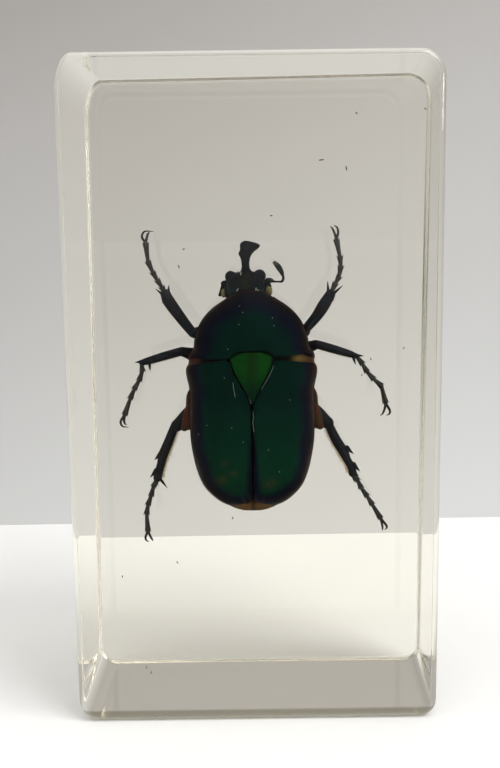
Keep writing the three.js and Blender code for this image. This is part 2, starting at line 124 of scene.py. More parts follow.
# Legs. A femur is a line of (x, y, z, radius). All else lies in the legs' plane: a tibia as (x, z, radius),
# a spine or tooth as (x, z, x of its tip, z of its tip), a tarsus as (x, z) and a claw as its bend and tip
POINT_RADIUS = 0.03
SPINE_RADIUS = 0.22
TOOTH_RADIUS = 0.34
KNEE_RADIUS = 0.42
LEG_FLATNESS = 0.72
LINK_PROFILE = [(-0.1, 0.2), (0.2, 0.23), (0.7, 0.3), (0.95, 0.36), (1.06, 0.22)]  # (share of the link, radius)
FRINGES = {"mid": (26, 0.26), "hind": (64, 0.5)}  # (points along the tibia, length of the hairs)
LEGS = {
    "left_fore_leg": {
        "femur": [(-1.9, 4.3, 43.2, 0.9), (-4.6, 3.5, 43.6, 0.95), (-6.7, 2.5, 43.5, 0.62)],
        "tibia": [(-6.8, 43.4, 0.52), (-8.1, 45.1, 0.62), (-9.5, 47.1, 0.7), (-9.9, 48.0, 0.6)],
        "spines": [(-9.6, 47.9, -9.5, 49.0), (-9.6, 47.2, -10.35, 47.0), (-9.8, 47.6, -11.0, 48.6)],
        "tarsus": [(-10.3, 48.8), (-10.8, 49.6), (-11.3, 50.5), (-11.8, 51.7), (-12.0, 53.8)],
        "claws": [[(-12.4, 54.5), (-11.1, 55.1)], [(-11.8, 54.6), (-11.5, 55.0)]],
    },
    "left_mid_leg": {
        "femur": [(-2.0, 5.0, 39.3, 0.9), (-5.5, 4.0, 40.5, 0.95), (-8.2, 2.5, 41.4, 0.55)],
        "tibia": [(-8.3, 41.4, 0.5), (-10.2, 40.9, 0.5), (-12.3, 40.3, 0.42), (-12.9, 40.2, 0.3)],
        "spines": [(-12.7, 40.3, -13.6, 40.2), (-12.0, 40.3, -11.9, 39.2)],
        "tarsus": [(-12.8, 39.2), (-13.2, 38.1), (-13.8, 37.1), (-14.3, 36.0), (-15.0, 34.1)],
        "claws": [[(-15.5, 33.3), (-14.6, 32.6)], [(-15.1, 33.4), (-14.8, 32.9)]],
    },
    "left_hind_leg": {
        "femur": [(-2.4, 5.0, 35.1, 1.1), (-6.4, 3.7, 34.3, 1.25), (-9.0, 2.5, 32.7, 0.72)],
        "tibia": [(-9.3, 32.5, 0.5), (-10.0, 30.8, 0.55), (-10.65, 29.3, 0.58), (-10.9, 28.3, 0.5),
                  (-11.2, 27.3, 0.5), (-11.4, 26.5, 0.5)],
        "teeth": [(-10.95, 29.4, -11.7, 28.7), (-11.5, 27.4, -12.25, 26.6)],
        "spines": [(-11.5, 26.7, -11.4, 25.6), (-11.3, 26.7, -10.3, 25.3)],
        "tarsus": [(-11.9, 25.5), (-12.2, 24.4), (-12.6, 23.3), (-12.8, 22.2), (-12.7, 20.1)],
        "claws": [[(-13.0, 19.4), (-12.6, 18.8)], [(-12.4, 19.4), (-12.1, 18.9)]],
    },
    "right_fore_leg": {
        "femur": [(1.5, 4.3, 43.2, 0.9), (4.0, 3.5, 43.6, 0.95), (6.0, 2.5, 43.5, 0.62)],
        "tibia": [(6.0, 43.7, 0.52), (7.3, 45.2, 0.62), (8.1, 46.4, 0.7), (8.9, 47.7, 0.6)],
        "spines": [(8.7, 47.6, 8.6, 49.2), (8.6, 46.9, 9.35, 47.1), (8.9, 47.5, 10.3, 48.7)],
        "tarsus": [(9.5, 49.0), (9.9, 49.7), (10.1, 50.9), (10.0, 52.0), (9.6, 53.9)],
        "claws": [[(9.4, 54.6), (8.9, 55.4)], [(9.8, 54.7), (9.3, 55.5)]],
    },
    "right_mid_leg": {
        "femur": [(1.6, 5.0, 39.3, 0.9), (4.8, 4.0, 41.0, 0.95), (7.3, 2.5, 42.0, 0.55)],
        "tibia": [(7.4, 42.0, 0.5), (9.4, 41.4, 0.5), (11.0, 40.9, 0.42), (11.9, 40.6, 0.3)],
        "spines": [(11.7, 40.7, 12.7, 40.6), (11.5, 40.7, 11.8, 39.6)],
        "tarsus": [(12.6, 39.7), (13.1, 38.8), (13.9, 37.9), (14.8, 37.1), (15.3, 35.1)],
        "claws": [[(15.2, 34.4), (14.7, 33.6)], [(15.8, 34.2), (15.4, 33.6)]],
    },
    "right_hind_leg": {
        "femur": [(2.0, 5.0, 35.1, 1.1), (6.1, 3.7, 34.3, 1.25), (8.6, 2.5, 32.8, 0.72)],
        "tibia": [(8.7, 32.6, 0.5), (9.5, 30.9, 0.57), (10.4, 29.4, 0.58), (10.85, 28.4, 0.47),
                  (11.3, 27.6, 0.47), (11.5, 26.8, 0.5)],
        "teeth": [(10.8, 29.8, 11.6, 29.1), (11.6, 27.8, 12.35, 27.0)],
        "spines": [(11.6, 27.0, 12.2, 26.4), (11.4, 26.9, 11.7, 25.7)],
        "tarsus": [(12.1, 25.9), (12.5, 25.0), (13.2, 24.0), (13.8, 23.0), (14.8, 21.3)],
        "claws": [[(15.0, 20.5), (15.0, 19.8)], [(15.5, 20.4), (15.3, 19.9)]],
    },
}

# Antennae as (x, y, z, radius): a stalk and a club of three leaves
RIGHT_STALK = [
    (1.4, 0.2, 49.3, 0.2), (1.75, 0.2, 49.45, 0.31), (2.15, 0.15, 49.45, 0.27), (2.45, 0.1, 49.35, 0.13),
    (2.95, 0.1, 49.32, 0.1), (3.35, 0.1, 49.35, 0.14), (3.5, 0.1, 49.65, 0.15), (3.48, 0.05, 49.95, 0.14),
]
RIGHT_CLUB = [
    (3.48, 0.05, 49.9, 0.14), (3.25, 0.0, 50.5, 0.24), (2.9, 0.0, 51.05, 0.25), (2.5, 0.0, 51.5, 0.12),
]
LEFT_STALK = [
    (-2.9, 1.3, 49.3, 0.25), (-2.5, 1.7, 49.8, 0.13), (-1.9, 2.2, 50.1, 0.13), (-1.75, 2.3, 49.7, 0.14),
]
LEFT_CLUB = [
    (-1.75, 2.3, 49.7, 0.14), (-1.7, 2.35, 49.2, 0.24), (-1.6, 2.35, 48.7, 0.25), (-1.5, 2.3, 48.3, 0.12),
]

# Head. The horn has its front outline as (x, z), and its section as (share towards the middle, y)
HORN_OUTLINE = [
    (-1.7, 50.2), (-1.35, 50.5), (-1.18, 50.95), (-1.18, 51.5), (-1.28, 52.05), (-1.5, 52.5), (-1.32, 52.95),
    (-1.32, 53.4), (-1.2, 53.7), (-0.75, 53.92), (0.1, 53.78), (0.72, 53.58), (0.92, 53.35), (0.7, 53.05),
    (0.3, 52.75), (-0.02, 52.4), (-0.22, 51.9), (-0.28, 51.3), (-0.22, 50.85), (0.05, 50.5), (0.3, 50.2),
]
HEAD_VOXEL = 0.065
HEAD_SMOOTHING = 3
HORN_SECTION = [
    (0.34, -0.42), (0.14, -0.37), (0.04, -0.24), (0.0, 0.0), (0.04, 0.24), (0.14, 0.37), (0.34, 0.42),
]

# Fine fibres as lines of (x, z) from the middle line, the third line being a painted highlight along the
# scutellum's right edge; dust as (x, z); painted glints as (x, z, turn)
FIBRE_AND_HIGHLIGHT_LINES = [
    [(-2.08, 38.36), (-2.02, 37.7), (-1.86, 36.8)], [(0.09, 35.1), (0.12, 34.4), (0.06, 33.8), (0.17, 32.8)],
    [(2.42, 40.2), (2.2, 39.6), (1.7, 38.7), (1.05, 37.6)], [(-0.33, 36.55), (-0.2, 36.3), (-0.12, 36.0)],
]
DUST = [
    (-1.27, 46.8), (-0.9, 46.1), (2.37, 45.45), (-1.34, 44.8), (2.55, 44.6), (-2.61, 42.1), (-3.04, 38.9),
    (-2.31, 33.3), (-6.06, 32.4), (1.75, 30.7), (-1.04, 31.65), (-5.09, 33.5), (4.2, 36.3), (3.0, 28.1),
]
FIBRE_AND_HIGHLIGHT_RADIUS = 0.015
SHINE_RADIUS = 0.022
DUST_RADII = (0.042, 0.035, 0.042)
GLINT_Y = -2.3
GLINT_HALF = 0.14
GLINTS = [(-1.65, 48.55, 0.9), (0.4, 48.6, 1.4), (0.6, 48.5, -0.4), (-1.25, 50.35, 1.3)]

# Specks and short fibres caught in the resin, as (x, y, z, length)
SPECKS = [
    (7.7, -2.2, 62.5, 0.5), (10.4, -2.2, 61.6, 0.45), (11.5, -2, 67.4, 0.2), (2.2, -2, 56.6, 0.2),
    (18.7, -4, 67.6, 0.2), (-7.5, -2.2, 53.1, 0.18), (-8.1, -2.2, 51.2, 0.3), (13.2, -2, 40.6, 0.2),
    (12.2, -2, 38.8, 0.15), (16.9, -2, 41.8, 0.18), (-12.5, -2, 3.8, 0.2), (-12.5, -8.9, 6.4, 0.2),
    (-2.6, -2, 22.4, 0.25), (-9.1, -2, 17.2, 0.2), (-15.5, -2, 15.6, 0.2),
]

# Camera
CAMERA_PLACE = (-0.4, -113.4, 53.86)
CAMERA_PITCH = 8.64
CAMERA_ROLL = -0.77
CAMERA_LENS = 44.9
SENSOR = 36.0

# Stage
TABLE_EDGE_LEFT = (-36.4, 64.9)
TABLE_EDGE_RIGHT = (38.9, 65.7)
TABLE_THICKNESS = 30.0
AIR_GAP = 0.03  # thin air under the block, so that its base mirrors
FAR = 20000.0
WALL_Y = 800.0
WALL_BOTTOM = -3000.0
WALL_TOP = 6000.0

# Area lights as (name, place, target, size, power), in metres and watts
LIGHTS = [
    ("ceiling", (0.05, 0.2, 0.85), (0, 0.05, 0.0), 0.7, 1.4),
    ("window", (0.45, -0.35, 0.75), (0, 0, 0.03), 0.5, 4.7),
    ("small_window", (0.5, -0.15, 0.142), (0, 0, 0.066), 0.05, 0.2),
]

# Light of the room by height, from straight down (0) over the horizon (0.5) to straight up (1)
ROOM_LIGHT = [(0.0, 0.9), (0.35, 0.75), (0.5, 0.8), (0.67, 0.95), (0.85, 1.3), (1.0, 1.4)]
DIM_LIGHT = [
    (0.0, 0.9), (0.2, 0.7), (0.34, 0.015), (0.46, 0.015), (0.5, 0.43), (0.63, 0.45), (0.76, 0.95),
    (1.0, 1.4),
]
DIM_SIDE = (-0.6, -0.85)  # the room is dim where the direction's y passes from one to the other


# Plain shape helpers

def catmull(points, count, closed=False):
    """Evenly spaced points on a smooth line through the given ones."""
    points = np.array(points, float)
    n = len(points)
    spans = n if closed else n - 1
    fine = []
    steps = 24
    for i in range(spans):
        if closed:
            a, b, c, d = (points[(i + k) % n] for k in (-1, 0, 1, 2))
        else:
            b, c = points[i], points[i + 1]
            a = points[i - 1] if i else 2 * b - c
            d = points[i + 2] if i + 2 < n else 2 * c - b
        for k in range(steps):
            t = k / steps
            fine.append(0.5 * (2 * b + (c - a) * t + (2 * a - 5 * b + 4 * c - d) * t ** 2
                               + (3 * b - a - 3 * c + d) * t ** 3))
    fine.append(points[0] if closed else points[-1])
    fine = np.array(fine)
    lengths = np.concatenate([[0], np.cumsum(np.linalg.norm(np.diff(fine[:, :3], axis=0), axis=1))])
    total = lengths[-1]
    wanted = np.arange(count) * total / count if closed else np.linspace(0, total, count)
    return np.stack([np.interp(wanted, lengths, fine[:, k]) for k in range(fine.shape[1])], axis=1)


def clamp(value):
    """The value, held between 0 and 1."""
    return float(np.clip(value, 0, 1))


def unit(vector):
    """The vector at length 1."""
    return vector / (np.linalg.norm(vector) or 1)


def clean(thing):
    """Merges corners that fell on each other and turns all faces outward."""
    work = bmesh.new()
    work.from_mesh(thing.data)
    bmesh.ops.remove_doubles(work, verts=work.verts, dist=MERGE_DISTANCE * MM)
    bmesh.ops.recalc_face_normals(work, faces=work.faces)
    work.to_mesh(thing.data)
    work.free()
    thing.data.shade_smooth()


def set_values(mesh, values):
    """Keeps named numbers at each corner of a mesh."""
    for key, numbers in values.items():
        attribute = mesh.attributes.new(key, "FLOAT", "POINT")
        attribute.data.foreach_set("value", np.array(numbers, dtype=np.float32))


def show_mesh(name, mesh, material, place):
    """Turns a mesh in millimetres into an object of the scene, which is in metres."""
    mesh.materials.append(material)
    mesh.transform(Matrix.Scale(MM, 4) @ Matrix.Translation(place))
    mesh.shade_smooth()
    mesh.update()
    thing = bpy.data.objects.new(name, mesh)
    bpy.context.scene.collection.objects.link(thing)
    return thing


def make_object(name, vertices, faces, material, values=None, place=BEETLE_PLACE):
    """A mesh object from corners in millimetres. values are named numbers kept at each corner."""
    mesh = bpy.data.meshes.new(name)
    mesh.from_pydata([tuple(v) for v in vertices], [], [tuple(f) for f in faces])
    mesh.validate()
    set_values(mesh, values or {})
    thing = show_mesh(name, mesh, material, place)
    clean(thing)
    return thing


def join_parts(parts):
    """Several (vertices, faces) as one."""
    vertices = []
    faces = []
    for part_vertices, part_faces in parts:
        start = len(vertices)
        vertices.extend(tuple(v) for v in part_vertices)
        faces.extend(tuple(start + i for i in face) for face in part_faces)
    return vertices, faces


def ring_faces(rings, sides, closed_ends=True):
    """Faces between rings of corners, with the two ends closed."""
    faces = []
    for r in range(rings - 1):
        for s in range(sides):
            t = (s + 1) % sides
            faces.append((r * sides + s, r * sides + t, (r + 1) * sides + t, (r + 1) * sides + s))
    if closed_ends:
        faces.append(tuple(reversed(range(sides))))
        faces.append(tuple((rings - 1) * sides + s for s in range(sides)))
    return faces


def loft(rings):
    """A closed skin over rings of corners."""
    return [corner for ring in rings for corner in ring], ring_faces(len(rings), len(rings[0]))


def tube(points, sides=14, rings=30, flat=1.0, round_ends=True):
    """A round bar along points (x, y, z, radius). flat is its thickness in y against its width."""
    line = catmull(points, rings)
    if round_ends:
        line = with_round_ends(line)
    middle = line[:, :3]
    along = np.gradient(middle, axis=0)
    vertices = []
    for place, direction, radius in zip(middle, along, line[:, 3]):
        direction = unit(direction)
        across = np.cross((0.0, 1.0, 0.0), direction)
        if np.linalg.norm(across) < 1e-3:
            across = np.array((1.0, 0.0, 0.0))
        across = unit(across)
        over = np.cross(direction, across)
        for s in range(sides):
            angle = 2 * math.pi * s / sides
            vertices.append(place + radius * (math.cos(angle) * across + flat * math.sin(angle) * over))
    return vertices, ring_faces(len(line), sides)


def with_round_ends(line):
    """Adds shrinking rings past both ends of a line of (x, y, z, radius)."""
    def cap(end, inner):
        direction = unit(end[:3] - inner[:3])
        rings = []
        for turn in map(math.radians, ROUND_END_ANGLES):
            rings.append(np.append(end[:3] + direction * end[3] * math.sin(turn), end[3] * math.cos(turn)))
        return rings

    return np.array(cap(line[0], line[1])[::-1] + list(line) + cap(line[-1], line[-2]))


def ball(centre, radii, columns=24, rows=14):
    """An egg shape."""
    vertices = []
    for r in range(rows + 1):
        polar = math.pi * (0.02 + 0.96 * r / rows)
        for c in range(columns):
            turn = 2 * math.pi * c / columns
            vertices.append((
                centre[0] + radii[0] * math.sin(polar) * math.cos(turn),
                centre[1] + radii[1] * math.sin(polar) * math.sin(turn),
                centre[2] - radii[2] * math.cos(polar),
            ))
    return vertices, ring_faces(rows + 1, columns)


def melted(name, parts, voxel, smoothing, material, values):
    """Parts grown together into one smooth skin. values are named functions of a corner's place."""
    vertices, faces = join_parts(parts)
    mesh = bpy.data.meshes.new(name + "_parts")
    mesh.from_pydata(vertices, [], faces)
    rough = bpy.data.objects.new(name + "_parts", mesh)
    bpy.context.scene.collection.objects.link(rough)
    remesh = rough.modifiers.new("skin", "REMESH")
    remesh.mode = "VOXEL"
    remesh.voxel_size = voxel
    smooth = rough.modifiers.new("smooth", "SMOOTH")
    smooth.iterations = smoothing
    smooth.factor = 0.5
    skin = bpy.data.meshes.new_from_object(rough.evaluated_get(bpy.context.evaluated_depsgraph_get()))
    bpy.data.objects.remove(rough)
    skin.name = name
    places = [corner.co for corner in skin.vertices]
    set_values(skin, {key: [number(*place) for place in places] for key, number in values.items()})
    return show_mesh(name, skin, material, BEETLE_PLACE)


def place_piece(thing, slot, *nodes):
    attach(thing, "root")
    if nodes:
        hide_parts(*nodes)


def add_piece(name, shape, material, slot, nodes=(), values=None):
    """A piece from (vertices, faces), in the place of its nodes."""
    place_piece(make_object(name, *shape, material, values), slot, *nodes)


# Material helpers

MIX_AMOUNT, MIX_FIRST, MIX_SECOND, MIX_RESULT = 0, 6, 7, 2  # sockets of a mix node, for colours


def tone(red, green, blue):
    """A colour given as 0 to 255, turned into the linear values that shaders take."""
    def linear(value):
        value = value / 255
        return value / 12.92 if value <= 0.04045 else ((value + 0.055) / 1.055) ** 2.4
    return (linear(red), linear(green), linear(blue), 1.0)


class Nodes:
    """A node tree with short ways to add nodes to it."""

    def __init__(self, tree):
        self.nodes = tree.nodes
        self.links = tree.links

    def add(self, kind, output, inputs=None, **settings):
        """A new node. Its inputs are numbers, colours or links. Gives back one of its outputs."""
        node = self.nodes.new("ShaderNode" + kind)
        for key, value in settings.items():
            setattr(node, key, value)
        for key, source in (inputs or {}).items():
            if isinstance(source, (tuple, float, int)):
                node.inputs[key].default_value = source
            else:
                self.links.new(source, node.inputs[key])
        return node.outputs[output]

    def ramp(self, source, stops, smooth=True):
        """Colours or grey levels by a number, as (number, colour)."""
        out = self.add("ValToRGB", "Color", {"Fac": source})
        colours = out.node.color_ramp
        colours.interpolation = "EASE" if smooth else "LINEAR"
        while len(colours.elements) < len(stops):
            colours.elements.new(0.5)
        for element, (position, colour) in zip(colours.elements, stops):
            element.position = position
            element.color = colour if isinstance(colour, tuple) else (colour, colour, colour, 1)
        return out

    def span(self, source, low, high, to_low=0.0, to_high=1.0):
        """A number between low and high, carried over to between to_low and to_high."""
        limits = {"From Min": low, "From Max": high, "To Min": to_low, "To Max": to_high}
        return self.add("MapRange", "Result", {"Value": source, **limits})

    def math(self, kind, first, second):
        return self.add("Math", "Value", {0: first, 1: second}, operation=kind)

    def mix(self, amount, first, second):
        """A colour between two."""
        inputs = {MIX_AMOUNT: amount, MIX_FIRST: first, MIX_SECOND: second}
        return self.add("Mix", MIX_RESULT, inputs, data_type="RGBA")

    def split(self, source):
        """The x, y and z of a vector."""
        return self.add("SeparateXYZ", "X", {"Vector": source}).node.outputs


class Look(Nodes):
    """A material with short ways to add its nodes."""

    def __init__(self, name):
        self.material = bpy.data.materials.new(name)
        self.material.use_nodes = True
        super().__init__(self.material.node_tree)
        self.shader = self.nodes["Principled BSDF"]
        self.place = self.add("TexCoord", "Object")

    def set(self, **values):
        for key, value in values.items():
            self.shader.inputs[key.replace("_", " ")].default_value = value

    def noise(self, size, detail=3.0):
        """Noise whose lumps are about size millimetres across."""
        inputs = {"Vector": self.place, "Scale": 1 / (size * MM), "Detail": detail}
        return self.add("TexNoise", "Fac", inputs)

    def cells(self, size):
        """Distance to scattered points about size millimetres apart."""
        return self.add("TexVoronoi", "Distance", {"Vector": self.place, "Scale": 1 / (size * MM)})

    def value(self, name):
        """A named number of the mesh's corners."""
        return self.add("Attribute", "Fac", attribute_name=name)

    def colour(self, source):
        self.links.new(source, self.shader.inputs["Base Color"])

    def roughness(self, source):
        self.links.new(source, self.shader.inputs["Roughness"])

    def patches(self, size, low, high, first, second, detail=3.0):
        """Two colours in patches of about size millimetres. low and high bound the blend in the noise."""
        return self.mix(self.span(self.noise(size, detail), low, high), first, second)

    def rough_between(self, low, high, size, detail=3.0):
        """Roughness that wanders from low to high over lumps of size millimetres."""
        self.roughness(self.span(self.noise(size, detail), NOISE_LOW, NOISE_HIGH, low, high))

    def bump(self, source, depth, strength=1.0):
        """Relief of the given depth in millimetres."""
        inputs = {"Strength": strength, "Distance": depth * MM, "Height": source}
        normal = self.shader.inputs["Normal"]
        if normal.is_linked:
            inputs["Normal"] = normal.links[0].from_socket
        self.links.new(self.add("Bump", "Normal", inputs), normal)


# Materials

NOISE_LOW, NOISE_HIGH = 0.3, 0.7  # most of a noise texture lies between these
WHITE = (1.0, 1.0, 1.0, 1.0)
GREEN = tone(4, 35, 29)
GREEN_LIVE = tone(7, 52, 35)
TEAL = tone(6, 30, 34)
VIOLET = tone(12, 15, 33)
BLACK_BROWN = tone(14, 10, 14)
BROWN = tone(48, 26, 22)
SMUDGE_BROWN = tone(56, 58, 34)
SCUTELLUM_GREEN = tone(14, 66, 18)
SCUTELLUM_DULL = tone(22, 52, 16)
SCUTELLUM_LOW = tone(5, 38, 20)
LEG_BLACK = tone(42, 40, 41)
LEG_TEAL = tone(38, 43, 50)
LEG_BROWN = tone(72, 38, 30)
LEG_TIP = tone(140, 134, 118)
HEAD_BLACK = tone(20, 20, 21)
HEAD_TEAL = tone(15, 25, 30)
CHEEK_TEAL = tone(14, 44, 44)
BROW_OLIVE = tone(34, 38, 24)
BELLY_RED = tone(84, 46, 38)
BELLY_OLIVE = tone(64, 52, 34)
BELLY_TAN_AND_HIGHLIGHT = tone(128, 108, 62)
BELLY_SEAM_AND_SHADE = tone(20, 18, 18)
# Painted contact shade: grey tint at the foot of the front edge, where the table under the block lies in shade
EDGE_FOOT_SHADE = tone(158, 156, 136)
# Painted shade of the right rear edge
EDGE_SHADE_OLIVE = tone(62, 59, 45)
EDGE_FROST = 0.45
FOOT_STRIP_ROUGHNESS = 0.15
FOOT_STRIP_TOP = 1.45  # the painted contact shade at the foot of the front edge ends at this height
FOOT_STRIP_FADE = 0.25
RESIN_IOR = 1.54
RESIN_TINT = (0.963, 0.926, 0.80, 1.0)
RESIN_DENSITY = 24.0
EYE_AMBER = (tone(128, 120, 82), tone(92, 84, 56))
HAIR_GOLD = (tone(186, 150, 100), tone(232, 208, 162))
DUST_GREY = (tone(60, 56, 50), tone(100, 94, 84))
FIBRE_AND_HIGHLIGHT_PALE = (tone(140, 146, 140), tone(206, 208, 202))
TABLE_WHITE = (tone(230, 230, 229), tone(234, 234, 232))
# The wall's painted shade at the top and painted light towards the lower right
WALL_PAINTED_SHADE = (0.375, 0.355, 0.34, 1.0)
WALL_PAINTED_LIGHT = (0.83, 0.83, 0.82, 1.0)
CHITIN_IOR = 1.13  # against the resin around it, which bends light nearly alike


def shell_look(name, stops):
    """Iridescent shell: green inside, blue-violet towards the rim and brown at the rim."""
    look = Look(name)
    look.set(Metallic=0.3, IOR=CHITIN_IOR)
    wobble = look.span(look.noise(3.0), NOISE_LOW, NOISE_HIGH, -0.035, 0.035)
    edge = look.math("ADD", look.value("edge"), wobble)
    lively = look.mix(look.value("live"), GREEN, GREEN_LIVE)
    rim = look.ramp(edge, stops)
    amount = look.ramp(edge, [(0.0, 0.0), (stops[0][0], 0.0), (stops[1][0], 1.0), (1.0, 1.0)], smooth=False)
    bands = look.mix(amount, lively, rim)
    tinted = look.mix(look.value("wedge"), bands, VIOLET)
    soiled = look.math("MULTIPLY", look.value("smudge"), look.span(look.noise(0.7, 4.0), 0.3, 0.65))
    smudged = look.mix(soiled, tinted, SMUDGE_BROWN)
    mottled = look.mix(look.span(look.noise(1.1, 5.0), 0.5, 0.8, 0.0, 0.25), smudged, BLACK_BROWN)
    look.colour(mottled)
    look.rough_between(0.4, 0.52, 0.5, 4.0)
    look.bump(look.span(look.cells(0.42), 0.0, 0.25), 0.01, 0.4)
    look.bump(look.noise(2.5, 2.0), 0.04, 0.3)
    return look.material


def scutellum_look():
    look = Look("scutellum_green")
    look.set(Metallic=0.35, IOR=CHITIN_IOR)
    stops = [(0.0, SCUTELLUM_DULL), (0.5, SCUTELLUM_GREEN), (1.0, SCUTELLUM_GREEN)]
    flanks = look.ramp(look.value("edge"), stops)
    lower = look.mix(look.value("low"), flanks, SCUTELLUM_LOW)
    look.colour(look.mix(look.span(look.noise(0.6, 4.0), 0.4, 0.8, 0.0, 0.25), lower, GREEN))
    look.rough_between(0.36, 0.48, 0.5, 4.0)
    look.bump(look.cells(0.4), 0.012, 0.4)
    return look.material


def leg_look():
    look = Look("leg_chitin")
    look.set(Metallic=0.15, IOR=CHITIN_IOR)
    brown = look.span(look.value("root"), 0.15, 0.7)
    base = look.patches(0.8, 0.35, 0.65, LEG_BLACK, LEG_TEAL, detail=4.0)
    tipped = look.mix(look.value("pale"), base, LEG_TIP)
    look.colour(look.mix(brown, tipped, LEG_BROWN))
    look.rough_between(0.35, 0.55, 0.3, 4.0)
    look.bump(look.cells(0.22), 0.02, 0.6)
    return look.material


def head_look():
    look = Look("head_chitin")
    look.set(Metallic=0.15, IOR=CHITIN_IOR)
    black = look.patches(0.9, 0.42, 0.62, HEAD_BLACK, HEAD_TEAL)
    teal = look.mix(look.value("cheek"), black, CHEEK_TEAL)
    look.colour(look.mix(look.value("brow"), teal, BROW_OLIVE))
    look.rough_between(0.32, 0.52, 0.3, 4.0)
    look.bump(look.cells(0.2), 0.03, 0.8)
    return look.material


def belly_look():
    look = Look("belly_chitin")
    look.set(Metallic=0.1, IOR=CHITIN_IOR)
    brown = look.patches(1.8, 0.44, 0.6, BELLY_RED, BELLY_OLIVE)
    # Tan on the pygidium and the side plate; on the right side plate it is also a painted highlight
    tan = look.mix(look.value("pale"), brown, BELLY_TAN_AND_HIGHLIGHT)
    # Dark in the seams, and painted shade under the wing-cases and over the neck band's middle
    look.colour(look.mix(look.value("dark"), tan, BELLY_SEAM_AND_SHADE))
    look.rough_between(0.35, 0.55, 0.4, 4.0)
    look.bump(look.cells(0.3), 0.02, 0.6)
    return look.material


def eye_look():
    look = Look("eye_amber")
    look.set(IOR=CHITIN_IOR)
    look.colour(look.patches(0.5, 0.4, 0.7, *EYE_AMBER))
    look.rough_between(0.2, 0.35, 0.2)
    look.bump(look.cells(0.06), 0.006, 0.5)
    return look.material


def hair_look():
    look = Look("hair_gold")
    look.set(IOR=CHITIN_IOR)
    look.colour(look.mix(look.noise(0.5), *HAIR_GOLD))
    look.rough_between(0.45, 0.65, 0.3)
    look.bump(look.noise(0.05), 0.004, 0.3)
    return look.material


def speck_look():
    look = Look("speck_dust")
    look.set(IOR=CHITIN_IOR)
    look.colour(look.mix(look.noise(0.2), *DUST_GREY))
    look.rough_between(0.5, 0.8, 0.1)
    look.bump(look.noise(0.05), 0.01, 0.5)
    return look.material


def fibre_and_highlight_look():
    look = Look("fibre_and_highlight_pale")
    # Pale fibres and dust, and also the painted highlights and glints
    look.colour(look.mix(look.noise(0.3), *FIBRE_AND_HIGHLIGHT_PALE))
    look.rough_between(0.3, 0.5, 0.1)
    look.bump(look.noise(0.05), 0.004, 0.4)
    return look.material


def resin_look():
    look = Look("resin_clear")
    look.set(Transmission_Weight=1.0, IOR=RESIN_IOR)
    x, y, z = look.split(look.place)
    # Painted contact shade: the foot of the front edge is tinted grey, and this strip is also rougher
    low = look.span(z, FOOT_STRIP_TOP * MM, (FOOT_STRIP_TOP - FOOT_STRIP_FADE) * MM)
    face_y = -BLOCK_DEPTH / 2
    in_front = look.span(y, (FRONT_EDGE + face_y) * MM, face_y * MM, 0.0, 2.0)
    foot_strip = look.math("MULTIPLY", low, look.math("MINIMUM", in_front, 1.0))
    foot_shaded = look.mix(foot_strip, WHITE, EDGE_FOOT_SHADE)
    # Painted shade: dark olive over a stretch of the frosted right rear edge
    look.colour(look.mix(look.value("edge_shade"), foot_shaded, EDGE_SHADE_OLIVE))
    polish = look.span(look.noise(6.0, 2.0), 0.4, 0.8, 0.0, 0.012)
    dull = look.math("MULTIPLY", foot_strip, FOOT_STRIP_ROUGHNESS)
    frosted = look.math("MULTIPLY", look.value("frost"), EDGE_FROST)
    look.roughness(look.math("ADD", polish, look.math("ADD", dull, frosted)))
    look.bump(look.noise(9.0, 1.0), 0.004, 0.3)
    tint = look.add("VolumeAbsorption", "Volume", {"Color": RESIN_TINT, "Density": RESIN_DENSITY})
    look.links.new(tint, look.nodes["Material Output"].inputs["Volume"])
    return look.material


# Resin block

def block_outline(inset, corner_steps=12, side_steps=12):
    """The front outline of the block, moved in by inset, as (x, z)."""
    half = BLOCK_WIDTH / 2
    corners = [
        ("low_right", 1, 0, -90), ("top_right", 1, 1, 0), ("top_left", -1, 1, 90), ("low_left", -1, 0, 180),
    ]
    arcs = []
    for name, side, top, start in corners:
        across, up = CORNER_RADII[name]
        x = side * (half - across)
        z = BLOCK_HEIGHT - up if top else up
        arc = []
        for k in range(corner_steps + 1):
            angle = math.radians(start + 90 * k / corner_steps)
            arc.append((x + (across - inset) * math.cos(angle), z + (up - inset) * math.sin(angle)))
        arcs.append(arc)
    points = []
    for i, arc in enumerate(arcs):
        points += arc
        first, last = arc[-1], arcs[(i + 1) % 4][0]
        for k in range(1, side_steps):
            t = k / side_steps
            points.append((first[0] + (last[0] - first[0]) * t, first[1] + (last[1] - first[1]) * t))
    return points


def block_sections():
    """(y, inset) from the front face to the back face."""
    half = BLOCK_DEPTH / 2

    def rounding(radius):
        """(distance from the face, inset) around an edge, from the face to the sides."""
        turns = [math.radians(90 * k / EDGE_STEPS) for k in range(EDGE_STEPS + 1)]
        return [(radius * (1 - math.cos(turn)), radius * (1 - math.sin(turn))) for turn in turns]

    front = [(away - half, inset) for away, inset in rounding(FRONT_EDGE)]
    back = [(half - away, inset) for away, inset in rounding(BACK_EDGE)[::-1]]
    start, end = front[-1][0], back[0][0]
    middle = [(start + (end - start) * t, 0.0) for t in SIDE_STEPS]
    return front + middle + back


def ground_off(x, y, z):
    """How far a point of the block is off, from the corners of its back."""
    back = 0.5 + y / BLOCK_DEPTH
    right = 0.5 + x / BLOCK_WIDTH
    top = z / BLOCK_HEIGHT
    return tuple(
        back * (BACK_LOW_LEFT[k] * (1 - right) * (1 - top) + BACK_LOW_RIGHT[k] * right * (1 - top)
                + BACK_TOP_LEFT[k] * (1 - right) * top + BACK_TOP_RIGHT[k] * right * top)
        for k in (0, 1))


